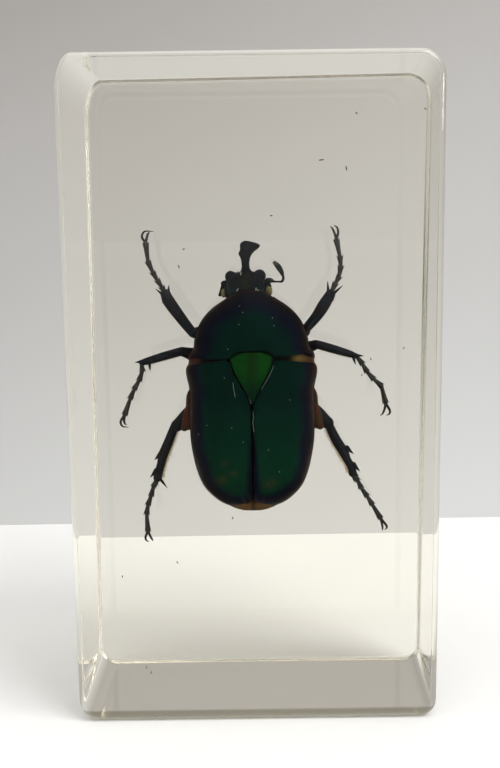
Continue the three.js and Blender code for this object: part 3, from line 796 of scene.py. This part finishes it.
def resin_block():
    sections = block_sections()
    vertices = []
    for y, inset in sections:
        for x, z in block_outline(inset):
            dx, dz = ground_off(x, y, z)
            vertices.append((x + dx, y, z + dz))
    faces = ring_faces(len(sections), len(block_outline(0)))
    frost = [1.0 if FROST_FROM < BLOCK_DEPTH / 2 - y < BACK_EDGE * 1.02 else 0.0 for x, y, z in vertices]
    # Painted shade on the frosted right rear edge
    edge_shade = [level * bell(x, z, BLOCK_WIDTH / 2, EDGE_SHADE_STRETCH["z"], EDGE_SHADE_STRETCH["wide"], EDGE_SHADE_STRETCH["high"])
              for level, (x, y, z) in zip(frost, vertices)]
    values = {"frost": frost, "edge_shade": edge_shade}
    piece = make_object("resin_block", vertices, faces, resin_look(), values, place=NOWHERE)
    weighted = piece.modifiers.new("normals", "WEIGHTED_NORMAL")
    weighted.mode = "FACE_AREA"
    weighted.weight = 50
    place_piece(piece, "resin", "resin_front_half", "resin_back_half")


# Wing-cases, pronotum and scutellum

def side_table(side_line):
    """A side outline, given as (out, z), as a smooth row of points from low to high."""
    line = catmull(side_line, 200)
    return line[np.argsort(line[:, 1])]


def half_width(table, z):
    """How far out the side outline lies at a height."""
    return float(np.interp(z, table[:, 1], table[:, 0]))


def bell(x, z, centre_x, centre_z, wide, high):
    """1 at a place on the surface, falling smoothly to 0 around it."""
    return math.exp(-((x - centre_x) / wide) ** 2 - ((z - centre_z) / high) ** 2)


ELYTRA_SIDE = side_table(ELYTRON[ELYTRON_SIDE])
ELYTRA_TURN_Z = 30.5  # below this height the shells curve in towards their tips
PRONOTUM_SIDE = side_table(PRONOTUM_FRONT)
SCUTELLUM_SIDE = side_table(SCUTELLUM_SIDE_HALF)
PRONOTUM_TURN_Z = 41.2  # above this height the pronotum curves in towards its front


def reach_table(points, turn_z):
    """Angle and distance of outline points (out, z) as seen from the middle line at turn_z."""
    line = catmull(points, 160)
    out, up = line[:, 0], np.abs(line[:, 1] - turn_z)
    order = np.argsort(np.arctan2(up, out))
    return np.arctan2(up, out)[order], np.hypot(out, up)[order]


ELYTRA_END = reach_table(
    [(6.9, ELYTRA_TURN_Z)] + ELYTRON[ELYTRON_END] + [(0.0, ELYTRA_TIP_Z)], ELYTRA_TURN_Z)
PRONOTUM_END = reach_table([(0.0, 48.5)] + PRONOTUM_FRONT, PRONOTUM_TURN_Z)


def spread_over(x, z, side, end, turn_z, above):
    """0 on the middle line of a domed shell and 1 at its rim."""
    out = abs(x - BODY_X)
    past = (z - turn_z) if above else (turn_z - z)
    if past <= 0:
        return min(out / (half_width(side, z) + RIM_MARGIN), 1.0)
    reach = float(np.interp(math.atan2(past, out), end[0], end[1]))
    return min(math.hypot(out, past) / (reach + RIM_MARGIN), 1.0)


def elytra_spread(x, z):
    return spread_over(x, z, ELYTRA_SIDE, ELYTRA_END, ELYTRA_TURN_Z, False)


def pronotum_spread(x, z):
    return spread_over(x, z, PRONOTUM_SIDE, PRONOTUM_END, PRONOTUM_TURN_Z, True)


def elytra_level(x, z):
    """Height in y of the elytra's surface, with shoulder knobs and knobs before the tips."""
    rise = (1 - elytra_spread(x, z) ** ELYTRA_FULLNESS) ** DOME_POWER
    height = ELYTRA_HEIGHT - 0.004 * (z - 35) ** 2
    out = abs(x - BODY_X)
    knobs = 0.2 * bell(out, z, 5.3, 38.9, 0.9, 1.3) + 0.16 * bell(out, z, 4.2, 26.9, 1.0, 0.8)
    furrow = 0.1 * math.exp(-(out / 0.45) ** 2)
    return MARGIN_Y - height * rise - knobs * rise + furrow


def pronotum_level(x, z):
    lift = 1.2 * clamp((z - 45.5) / 2.8) ** 2
    rise = (1 - pronotum_spread(x, z) ** PRONOTUM_FULLNESS) ** DOME_POWER
    return MARGIN_Y - lift - (PRONOTUM_HEIGHT - lift) * rise


def shield(outline, centre, level, thickness, roll, count=260, rings=34):
    """A closed shell over an outline. It follows level(x, z), and its edge rolls over by roll.
    Its rings of corners shrink from the outline onto a centre."""
    edge = catmull(outline, count, closed=True)
    centre = np.array(centre, float)
    reach = np.linalg.norm(edge - centre, axis=1)
    steps = [(k / rings) ** 1.6 for k in range(rings, -1, -1)]
    flat = np.array([[level(*(point + (centre - point) * t)) for point in edge] for t in steps])
    for turn in range(SMOOTH_TURNS):
        around = (np.roll(flat, 1, axis=1) + np.roll(flat, -1, axis=1)) / 2
        along = flat.copy()
        along[1:-1] = (flat[:-2] + flat[2:]) / 2
        inner = 0.5 * flat + 0.25 * around + 0.25 * along
        flat[1:-1] = inner[1:-1]
        flat[0] = flat[1].mean()
    vertices = []
    for t, row in zip(steps, flat):
        for point, y, length in zip(edge, row, reach):
            x, z = point + (centre - point) * t
            short = min(t * length / roll, 1.0)
            vertices.append((x, y + roll * (1 - math.sqrt(1 - (1 - short) ** 2)), z))
    under = (0.0, 0.02, 0.08, 0.25, 0.6, 1.0)
    for t in under:
        for point, rim, length in zip(edge, flat[-1], reach):
            x, z = point + (centre - point) * t
            deep = thickness * min(1.0, 0.35 + t * length / (2 * thickness))
            vertices.append((x, (level(x, z) if t else rim + roll) + deep, z))
    return vertices, ring_faces(len(steps) + len(under), count, closed_ends=False)


def one_side(half, side):
    """A half outline on the right (side 1) or the left (side -1), as (x, z)."""
    return [(BODY_X + side * out, z) for out, z in half]


def both_sides(right, left=None):
    return one_side(right, 1) + one_side(left or right, -1)[::-1]


def rim_bead(line, level, radius):
    """A thin raised bead along points (x, z) of a rim."""
    points = [(x, level(x, z) + radius, z, radius) for x, z in line]
    return tube(points, sides=10, rings=110)


def shell_values(vertices, bead_from, edge_at):
    """Numbers that colour a shell, for each of its corners."""
    edge = [1.0 if i >= bead_from else edge_at(x, z) for i, (x, y, z) in enumerate(vertices)]
    wedge = []
    live = []
    smudge = []
    for x, y, z in vertices:
        low = clamp((33.5 - z) / 9)
        wide = 0.3 + 0.5 * low + 2.6 * max(0.0, (25.8 - z) / 2.0) ** 2
        wedge.append(clamp(1.5 - abs(x - BODY_X) / wide) * min(1.0, low * 3))
        live.append(clamp((37 - z) / 10))
        smudge.append(max(bell(x, z, a, b, size, size * 0.8) for a, b, size in SMUDGES))
    return {"edge": edge, "wedge": wedge, "live": live, "smudge": smudge}


def elytron(name, node, side, material):
    outline = one_side(ELYTRON, side)
    shell = shield(outline, (BODY_X + side * 3.6, 32.0), elytra_level, SHELL, 0.12)
    rim = one_side(ELYTRON[ELYTRON_RIM], side)
    bead = rim_bead(rim, elytra_level, BEAD_RADIUS)
    both = join_parts([shell, bead])
    values = shell_values(both[0], len(shell[0]), elytra_spread)
    add_piece(name, both, material, "elytron", [node], values)


def pronotum(material):
    outline = both_sides(PRONOTUM_FRONT + PRONOTUM_RIGHT_REAR, PRONOTUM_FRONT + PRONOTUM_LEFT_REAR)
    shell = shield(outline, (BODY_X, 43.6), pronotum_level, PRONOTUM_THICKNESS, 0.15)
    beads = [rim_bead(one_side(PRONOTUM_FRONT[1:], side), pronotum_level, BEAD_RADIUS) for side in (-1, 1)]
    vertices, faces = join_parts([shell, *beads])

    def edge_at(x, z):
        front = max(0.0, (z - 41.5) / 7.0)
        out = abs(x - BODY_X) / half_width(PRONOTUM_SIDE, min(z, 47.5))
        return min(1.0, max(pronotum_spread(x, z), (front ** 4 + min(out, 1.0) ** 4) ** 0.25 * 0.97))

    values = shell_values(vertices, len(shell[0]), edge_at)
    values["wedge"] = values["live"] = [0.0] * len(vertices)
    add_piece("pronotum_shield", (vertices, faces), material, "pronotum", ["pronotum"], values)


def scutellum(material):
    def level(x, z):
        return elytra_level(x, z) - 0.12 + 0.05 * abs(x - BODY_X) ** 2

    shell = shield(both_sides(SCUTELLUM_HALF), (BODY_X, 39.9), level, SHELL, 0.2, count=180, rings=18)
    flank = [min(1.0, abs(x - BODY_X) / half_width(SCUTELLUM_SIDE, z)) for x, y, z in shell[0]]
    low = [clamp((39.6 - z) / 2.6) for x, y, z in shell[0]]
    add_piece("scutellum_plate", shell, material, "scutellum", ["scutellum"], {"edge": flank, "low": low})


def neck_band(material):
    """The ring of the body that shows between the pronotum and the wing-cases, with painted shade over its
    middle.
    """
    def level(x, z):
        return max(elytra_level(x, z), pronotum_level(x, z)) + 0.5

    shell = shield(both_sides(NECK_BAND_HALF), (BODY_X, 41.0), level, 0.5, 0.2, count=200, rings=16)
    # Painted shade over the middle of the ring, under the pronotum and wing-cases
    dark = [clamp(1.2 - (abs(x - BODY_X) - (4.0 if x > BODY_X else 5.2)) / 0.9) for x, y, z in shell[0]]
    # Tan side plate on the right, made lighter and yellower there as a painted highlight
    pale = [bell(x, z, BODY_X + 5.2, 40.85, 0.9, 0.4) for x, y, z in shell[0]]
    add_piece("neck_band", shell, material, "underside", values={"dark": dark, "pale": pale})


# Underside

def belly_ring(z, sides=72, swell=0.0):
    """One slice of the body: round below the rim and flatter under the wing-cases."""
    reach = abs(z - BELLY["middle"]) / BELLY["length"]
    shrink = max(1 - min(reach, 0.999) ** BELLY["power"], 0.0) ** (1 / BELLY["power"])
    width = BELLY["width"] * shrink + swell
    below = BELLY["height"] * shrink + swell
    above = (ELYTRA_HEIGHT - SHELL - GAP) * shrink * 0.9
    return slice_ring(z, width, below, above, 2 / BELLY["power"], sides)


def slice_ring(z, width, below, above, power, sides):
    ring = []
    for s in range(sides):
        angle = 2 * math.pi * s / sides
        c, d = math.cos(angle), math.sin(angle)
        x = width * math.copysign(abs(c) ** power, c)
        y = (below if d > 0 else above) * math.copysign(abs(d) ** power, d)
        if d < 0:
            x *= 0.93
        groove = 0.14 * math.exp(-(x / 0.3) ** 2) if d > 0 else 0.0
        ring.append((BODY_X + x, MARGIN_Y + GAP + y - groove, z))
    return ring


def trunk(bottom, top, joints):
    """A stretch of the body whose plates overlap at the joints."""
    steps = 110
    rings = []
    for k in range(steps + 1):
        z = bottom + (top - bottom) * k / steps
        past = [j - z for j in joints if j >= z]
        lip = math.exp(-min(past) / 0.5) * 0.34 if past else 0.0
        rings.append(belly_ring(z, swell=-lip))
    return loft(rings)


def fore_trunk():
    """The underside of the pronotum, from the neck back to the middle of the body."""
    rings = []
    for k in range(50):
        z = 40.3 + 7.6 * k / 49
        wide = half_width(PRONOTUM_SIDE, z) - 0.35 if z < 47.4 else 2.2
        round_off = math.sqrt(max(1 - ((z - 41.0) / 7.4) ** 2, 0.03)) if z > 41 else 1.0
        rings.append(slice_ring(z, wide, 4.0 * round_off, 2.9 * round_off, 0.9, 64))
    return loft(rings)


def body_seams_and_shade(vertices, seams):
    """Painted shade where the body lies under the wing-cases, dark seams between its plates, and darker along
    the middle line.
    """
    dark = []
    pale = [0.35 * clamp((24.4 - z) / 0.5) for x, y, z in vertices]
    for x, y, z in vertices:
        seam = max((math.exp(-((z - seam) / 0.16) ** 2) for seam in seams), default=0.0)
        # Painted shade on the body's upper side, under the wing-cases
        under = clamp((MARGIN_Y + 0.6 - y) / 0.5) * clamp((z - 24.1) / 0.4)
        middle = math.exp(-((x - BODY_X) / 0.2) ** 2)
        dark.append(max(0.8 * seam, under, 0.7 * middle))
    return {"dark": dark, "pale": pale}


ABDOMEN_SEAMS = [24.6, 26.6, 28.6, 30.6, 32.5, 34.2]
THORAX_SEAMS = [37.9]
FORE_SEAMS = [40.4, 44.6]


def body_pieces(material):
    abdomen = trunk(23.05, THORAX_BOTTOM - GAP / 2, ABDOMEN_SEAMS)
    shades = body_seams_and_shade(abdomen[0], ABDOMEN_SEAMS)
    add_piece("abdomen_segments", abdomen, material, "underside", ["abdomen"], shades)

    parts = [trunk(THORAX_BOTTOM, THORAX_TOP, THORAX_SEAMS)]
    for side in (-1, 1):
        x = BODY_X + side * 6.5
        plate = [(x + side * 0.15, 0.9, 37.4, 0.3), (x + side * 0.4, 0.9, 36.4, 0.6),
                 (x + side * 0.4, 1.1, 35.1, 0.75), (x + side * 0.6, 1.3, 33.9, 0.9),
                 (x + side * 1.0, 1.4, 33.0, 0.75), (x + side * 1.35, 1.5, 32.6, 0.45)]
        parts.append(tube(plate, sides=20, rings=30, flat=0.8))
        parts.append(tube([(BODY_X + side * 0.9, 4.2, 35.0, 0.8), (BODY_X + side * 3.4, 3.9, 35.0, 0.95),
                           (BODY_X + side * 6.2, 2.2, 34.5, 0.8)], sides=20, rings=30, flat=0.75))
        parts.append(ball((BODY_X + side * 2.0, 4.3, 39.4), (1.3, 0.9, 1.0)))
    parts.append(ball((BODY_X, 4.5, 40.2), (0.65, 0.5, 0.9)))
    thorax = join_parts(parts)
    shades = body_seams_and_shade(thorax[0], THORAX_SEAMS)
    add_piece("thorax_plates", thorax, material, "underside", ["thorax"], shades)

    parts = [fore_trunk()]
    for side in (-1, 1):
        parts.append(tube([(BODY_X + side * 0.7, 3.9, 43.0, 0.75), (BODY_X + side * 2.6, 3.7, 43.2, 0.95)],
                          sides=18, rings=16, flat=0.85))
    front = join_parts(parts)
    add_piece("fore_underside", front, material, "underside", values=body_seams_and_shade(front[0], FORE_SEAMS))


# Legs

def in_plane(point, radius):
    """A point (x, z) of the legs' plane as (x, y, z, radius)."""
    return (point[0], LEG_PLANE_Y, point[1], radius)


def tarsus_links(leg):
    """The links of a foot, each with a pair of small points at its end."""
    joints = [leg["tibia"][-1][:2]] + leg["tarsus"]
    parts = []
    for (x0, z0), (x1, z1) in zip(joints, joints[1:]):
        start, end = np.array([x0, z0]), np.array([x1, z1])
        points = []
        for t, radius in LINK_PROFILE:
            points.append(in_plane(start + (end - start) * t, radius))
        parts.append(tube(points, sides=12, rings=14, flat=0.8))
        step = unit(end - start)
        across = np.array([-step[1], step[0]])
        for side in (-1, 1):
            root = start + (end - start) * 0.9 + across * side * 0.24
            tip = root + step * 0.28 + across * side * 0.14
            parts.append(tube([in_plane(root, 0.07), in_plane(tip, 0.02)], 6, 5))
    return parts


def claw_line(end, bend, tip):
    """A hooked claw from the end of the tarsus over its bend to its tip."""
    end, bend, tip = np.array(end), np.array(bend), np.array(tip)
    ahead = unit(bend - end)
    knuckle = bend + (tip - bend) * 0.4 + ahead * 0.28 * np.linalg.norm(tip - bend)
    return [in_plane(end, 0.16), in_plane(bend, 0.14), in_plane(knuckle, 0.1), in_plane(tip, POINT_RADIUS)]


def leg_piece(name, leg, material):
    parts, roots, pale = [], [], []

    def add(part, root=lambda v: 0.0, paleness=0.0):
        parts.append(part)
        roots.extend(root(v) for v in part[0])
        pale.extend([paleness] * len(part[0]))

    hip = leg["femur"][0]
    knee = leg["femur"][-1]
    length = math.dist(hip[:3], knee[:3])

    def near_hip(v):
        return max(0.0, 1 - math.dist(v, hip[:3]) / length)

    add(tube(leg["femur"], sides=20, rings=40, flat=LEG_FLATNESS), near_hip)
    tibia = [in_plane((x, z), radius) for x, z, radius in leg["tibia"]]
    add(tube([tibia[0][:3] + (KNEE_RADIUS,)] + tibia, sides=18, rings=44, flat=LEG_FLATNESS))
    ridge = [(x, LEG_PLANE_Y - radius * 0.62, z, 0.12) for x, y, z, radius in tibia]
    add(tube(ridge, sides=8, rings=30))
    for x, z, tip_x, tip_z in leg.get("teeth", []):
        tooth = [in_plane((x, z), TOOTH_RADIUS), in_plane((tip_x, tip_z), POINT_RADIUS)]
        add(tube(tooth, sides=10, rings=10))
    for x, z, tip_x, tip_z in leg["spines"]:
        middle = ((x + tip_x) / 2, (z + tip_z) / 2)
        spine = [in_plane((x, z), SPINE_RADIUS), in_plane(middle, SPINE_RADIUS * 0.7),
                 in_plane((tip_x, tip_z), POINT_RADIUS)]
        add(tube(spine, sides=10, rings=10))
    for part in tarsus_links(leg):
        add(part, paleness=0.12)
    end = leg["tarsus"][-1]
    for bend, tip in leg["claws"]:
        add(tube(claw_line(end, bend, tip), sides=10, rings=20), paleness=0.08)
    values = {"root": roots, "pale": pale}
    add_piece(name + "_limb", join_parts(parts), material, "leg", [name], values)


def leg_fringes(material):
    """Golden hairs along the inner edges of the middle and hind tibiae."""
    parts = []
    for name, leg in LEGS.items():
        if "fore" in name:
            continue
        count, long = FRINGES["hind" if "hind" in name else "mid"]
        line = catmull([in_plane((x, z), radius) for x, z, radius in leg["tibia"]], count)
        side = 1.0 if name.startswith("left") else -1.0
        for i in range(2, count - 3):
            place = line[i]
            step = unit(line[i + 1][:3] - line[i - 1][:3])
            across = np.array([-step[2], 0.0, step[0]]) * side
            if across[0] * side < 0:
                across = -across
            for layer in (-0.12, 0.1):
                root = place[:3] + across * place[3] * 0.85 + np.array([0, layer, 0])
                lean = step * random.uniform(0.25, 0.6) + across * random.uniform(0.7, 1.0)
                tip = root + lean * long * random.uniform(0.6, 1.1)
                hair = [(*root, 0.028), (*((root + tip) / 2), 0.022), (*tip, 0.006)]
                parts.append(tube(hair, 4, 4, round_ends=False))
    add_piece("leg_fringes", join_parts(parts), material, "leg")


# Head

def horn_part():
    outline = catmull(HORN_OUTLINE, 140, closed=True)
    vertices = []
    for shrink, y in HORN_SECTION:
        for x, z in outline:
            centre_x = np.interp(z, [50, 52, 54], [HEAD_X, HEAD_X, -0.5])
            lean = np.interp(z, [49.8, 51.4, 52.9, 53.9], [-1.0, -2.0, -2.6, -2.75])
            vertices.append((x + (centre_x - x) * shrink, lean + y, z))
    return vertices, ring_faces(len(HORN_SECTION), len(outline))


def block_ball(centre, radii, power, columns=40, rows=26):
    """An egg shape with squarer corners."""
    vertices, faces = ball(NOWHERE, (1, 1, 1), columns, rows)
    out = []
    for v in vertices:
        size = sum(abs(c) ** power for c in v) ** (1 / power) or 1
        out.append(tuple(centre[k] + radii[k] * v[k] / size for k in range(3)))
    return out, faces


def head_capsule(material):
    parts = [
        block_ball((-0.75, -0.25, 48.95), (2.1, 1.6, 1.5), 3.0),
        ball((-0.75, 0.5, 49.3), (1.7, 1.3, 1.2)),
        ball((-2.42, -0.55, 49.95), (0.62, 0.6, 0.68)),
        ball((-1.95, -0.7, 49.3), (0.6, 0.6, 0.7)),
        ball((0.83, -0.6, 50.02), (0.72, 0.62, 0.72)),
        ball((0.55, -0.75, 49.2), (0.6, 0.5, 0.7)),
        tube([(-3.2, 0.0, 49.3, 0.24), (-3.42, 0.1, 48.6, 0.2), (-3.66, 0.15, 47.9, 0.19)], 12, 14),
        tube([(-3.25, 0.1, 49.2, 0.3), (-2.5, 0.0, 49.2, 0.5)], 14, 10),
        tube([(1.2, -0.2, 49.1, 0.3), (1.75, -0.15, 49.1, 0.27), (2.05, 0.0, 48.8, 0.16)], 14, 12),
        ball((-2.65, 0.1, 48.3), (0.55, 0.8, 0.9)),
        ball((1.2, 0.1, 48.4), (0.55, 0.8, 0.9)),
        ball((-0.75, -1.35, 50.05), (0.75, 0.7, 0.75)),
        tube([(-2.4, -0.5, 49.95, 0.5), (-0.75, -0.6, 49.95, 0.52), (0.8, -0.5, 49.98, 0.55)], 14, 20),
        horn_part(),
    ]

    def cheek(x, y, z):
        return max(bell(x, z, -2.35, 48.35, 0.55, 0.6), bell(x, z, 1.05, 48.6, 0.55, 0.6))

    def brow(x, y, z):
        return bell(x, z, HEAD_X, 49.2, 0.4, 0.8)

    values = {"cheek": cheek, "brow": brow}
    head = melted("head_capsule", parts, HEAD_VOXEL, HEAD_SMOOTHING, material, values)
    place_piece(head, "head", "head")


def head_pieces(material, eye_material):
    head_capsule(material)
    for name, centre, radii in (("left_eye", (-3.2, 0.35, 48.2), (0.42, 0.6, 0.6)),
                                ("right_eye", (1.72, 0.25, 48.3), (0.55, 0.8, 0.72))):
        add_piece(name, ball(centre, radii, 40, 24), eye_material, "head")
    mouth = []
    for side in (-1, 1):
        x = HEAD_X + side * 0.55
        middle, tip = x + side * 0.35, x + side * 0.25
        feeler = [(x, 1.5, 49.3, 0.22), (middle, 1.9, 49.9, 0.17), (tip, 1.8, 50.4, 0.1)]
        mouth.append(tube(feeler, 10, 14))
        mouth.append(ball((x, 1.45, 49.6), (0.45, 0.4, 0.55)))
    add_piece("mouth_parts", join_parts(mouth), material, "head")


def antenna_piece(name, stalk, club, material):
    """A stalk and three thin leaves, which open a little towards their ends."""
    parts = [tube(stalk, sides=12, rings=40)]
    start, end = np.array(club[0][:3]), np.array(club[-1][:3])
    along = unit(end - start)
    across = np.array([along[2], 0.0, -along[0]])
    for turn, layer in ((-1, 0.1), (0, 0.0), (1, -0.1)):
        points = []
        for i, (x, y, z, radius) in enumerate(club):
            open_by = turn * 0.09 * i / (len(club) - 1)
            place = np.array([x, y, z]) + across * open_by + np.array([0, layer, 0])
            points.append((*place, radius))
        parts.append(tube(points, sides=12, rings=26, flat=0.22))
    vertices, faces = join_parts(parts)
    club_start = len(parts[0][0])
    pale = [0.0 if i < club_start else max(0.0, 1 - np.linalg.norm(np.array(v) - end) / 0.6) * 0.6
            for i, v in enumerate(vertices)]
    values = {"root": [0.0] * len(vertices), "pale": pale}
    add_piece(name + "_club", (vertices, faces), material, "leg", [name], values)


# What else lies in the resin

def speck_piece(material):
    parts = []
    for x, y, z, length in SPECKS:
        turn = random.uniform(0, math.pi)
        dx, dz = math.cos(turn) * length / 2, math.sin(turn) * length / 2
        parts.append(tube([(x - dx, y, z - dz, 0.05), (x, y, z, 0.07), (x + dx, y, z + dz, 0.04)], 6, 6))
    add_piece("specks", join_parts(parts), material, "resin")


def fibre_and_highlight_piece(material):
    """Fine pale fibres and dust on the beetle's back, with painted highlights along the scutellum's right edge
    and the left wing-case's rim, and painted glints by the head.
    """
    parts = []
    # The third line is a painted highlight along the scutellum's right edge
    for line in FIBRE_AND_HIGHLIGHT_LINES:
        points = [(BODY_X + x, elytra_level(BODY_X + x, z) - 0.1, z, FIBRE_AND_HIGHLIGHT_RADIUS) for x, z in line]
        parts.append(tube(points, 6, 20))
    # Painted highlight: a pale line along the left wing-case's rim
    rim = [(BODY_X - out - 0.02, z) for out, z in ELYTRON[ELYTRON_SHINE]]
    parts.append(tube([(x, elytra_level(x, z) - 0.1, z, SHINE_RADIUS) for x, z in rim], 6, 60))
    for x, z in DUST:
        level = pronotum_level if z > 41.5 else elytra_level
        parts.append(ball((BODY_X + x, level(BODY_X + x, z) - 0.03, z), DUST_RADII, 8, 6))
    # Painted glints: short pale slivers by the head
    for x, z, turn in GLINTS:
        dx, dz = GLINT_HALF * math.cos(turn), GLINT_HALF * math.sin(turn)
        parts.append(tube([(x - dx, GLINT_Y, z - dz, 0.05), (x + dx, GLINT_Y, z + dz, 0.04)], 6, 6))
    add_piece("fibres_dust_and_highlights", join_parts(parts), material, "resin")


# Stage, light and camera

def floor_piece():
    look = Look("table_white")
    look.colour(look.patches(40.0, NOISE_LOW, NOISE_HIGH, *TABLE_WHITE))
    look.rough_between(0.5, 0.6, 5.0)
    look.bump(look.noise(1.0), 0.01, 0.1)
    (x0, y0), (x1, y1) = TABLE_EDGE_LEFT, TABLE_EDGE_RIGHT
    slope = (y1 - y0) / (x1 - x0)
    left_y = y0 + (-FAR - x0) * slope
    right_y = y0 + (FAR - x0) * slope
    top = -AIR_GAP
    vertices = [(-FAR, -FAR, top), (FAR, -FAR, top), (FAR, right_y, top), (-FAR, left_y, top)]
    vertices += [(x, y, -TABLE_THICKNESS) for x, y, z in vertices]
    faces = [(0, 1, 2, 3), (7, 6, 5, 4), (3, 2, 6, 7), (0, 4, 5, 1), (1, 5, 6, 2), (0, 3, 7, 4)]
    piece = make_object("table", vertices, faces, look.material, place=NOWHERE)
    for polygon in piece.data.polygons:
        polygon.use_smooth = False
    piece.visible_glossy = False


def wall_piece():
    look = Look("wall_grey_painted_light")
    x, y, z = look.split(look.place)
    # Painted light: the wall darkens towards the top and lightens towards the right, as light falls on it
    across = look.math("MULTIPLY", x, 0.2)
    down = look.math("MULTIPLY", z, -0.85)
    blotch = look.span(look.noise(300.0), NOISE_LOW, NOISE_HIGH, -0.008, 0.008)
    shade = look.span(look.math("ADD", look.math("ADD", across, down), blotch), -0.26, 0.22)
    look.colour(look.ramp(shade, [(0.0, WALL_PAINTED_SHADE), (1.0, WALL_PAINTED_LIGHT)], smooth=False))
    look.rough_between(0.8, 0.9, 20.0)
    look.bump(look.noise(4.0), 0.05, 0.1)
    corners = ((-FAR, WALL_BOTTOM), (FAR, WALL_BOTTOM), (FAR, WALL_TOP), (-FAR, WALL_TOP))
    vertices = [(x, WALL_Y, z) for x, z in corners]
    piece = make_object("wall", vertices, [(0, 1, 2, 3)], look.material, place=NOWHERE)


def add_light(name, place, target, size, power):
    light = bpy.data.lights.new(name, "AREA")
    light.shape = "SQUARE"
    light.size = size
    light.energy = power
    thing = bpy.data.objects.new(name, light)
    thing.location = place
    direction = Vector(target) - Vector(place)
    thing.rotation_euler = direction.to_track_quat("-Z", "Y").to_euler()
    thing.visible_camera = False
    bpy.context.scene.collection.objects.link(thing)


def studio():
    """A pale room. On the side that the block's front mirrors it is dim below the horizon."""
    world = bpy.data.worlds.new("studio")
    bpy.context.scene.world = world
    world.use_nodes = True
    room = Nodes(world.node_tree)
    x, y, z = room.split(room.add("TexCoord", "Generated"))
    height = room.span(z, -1.0, 1.0)

    def by_height(stops):
        tones = [(place, (level, level, level * 0.99, 1)) for place, level in stops]
        return room.ramp(height, tones, smooth=False)

    colour = room.mix(room.span(y, *DIM_SIDE), by_height(ROOM_LIGHT), by_height(DIM_LIGHT))
    background = room.nodes["Background"].inputs
    room.links.new(colour, background["Color"])
    background["Strength"].default_value = 1.0
    for light in LIGHTS:
        add_light(*light)
    view = bpy.context.scene.view_settings
    view.view_transform = "Standard"
    view.look = "None"
    view.exposure = 0.0


def camera():
    data = bpy.data.cameras.new("camera")
    data.sensor_fit = "VERTICAL"
    data.sensor_width = SENSOR
    data.sensor_height = SENSOR
    data.lens = CAMERA_LENS
    data.clip_start = 0.005
    data.clip_end = 100.0
    thing = bpy.data.objects.new("camera", data)
    pitch = math.radians(CAMERA_PITCH)
    roll = math.radians(CAMERA_ROLL)
    forward = Vector((0, math.cos(pitch), -math.sin(pitch)))
    right = Vector((1, 0, 0))
    up = right.cross(forward)
    side = right * math.cos(roll) + up * math.sin(roll)
    top = up * math.cos(roll) - right * math.sin(roll)
    rotation = Matrix((side, top, -forward)).transposed().to_4x4()
    thing.matrix_world = Matrix.Translation(Vector(CAMERA_PLACE) * MM) @ rotation
    bpy.context.scene.collection.objects.link(thing)
    bpy.context.scene.camera = thing


camera()
studio()
floor_piece()
wall_piece()
resin_block()

elytron_green = shell_look("elytron_green", [
    (0.7, TEAL), (0.83, VIOLET), (0.92, BLACK_BROWN), (1.0, BROWN)])
pronotum_green = shell_look("pronotum_green", [
    (0.58, TEAL), (0.78, VIOLET), (0.95, BLACK_BROWN), (1.03, BROWN)])
elytron("left_wing_case", "left_elytron", -1, elytron_green)
elytron("right_wing_case", "right_elytron", 1, elytron_green)
pronotum(pronotum_green)
scutellum(scutellum_look())

belly = belly_look()
neck_band(belly)
body_pieces(belly)

leg_material = leg_look()
for leg_name, leg in LEGS.items():
    leg_piece(leg_name, leg, leg_material)
leg_fringes(hair_look())
head_pieces(head_look(), eye_look())
antenna_piece("right_antenna", RIGHT_STALK, RIGHT_CLUB, leg_material)
antenna_piece("left_antenna", LEFT_STALK, LEFT_CLUB, leg_material)
speck_piece(speck_look())
fibre_and_highlight_piece(fibre_and_highlight_look())
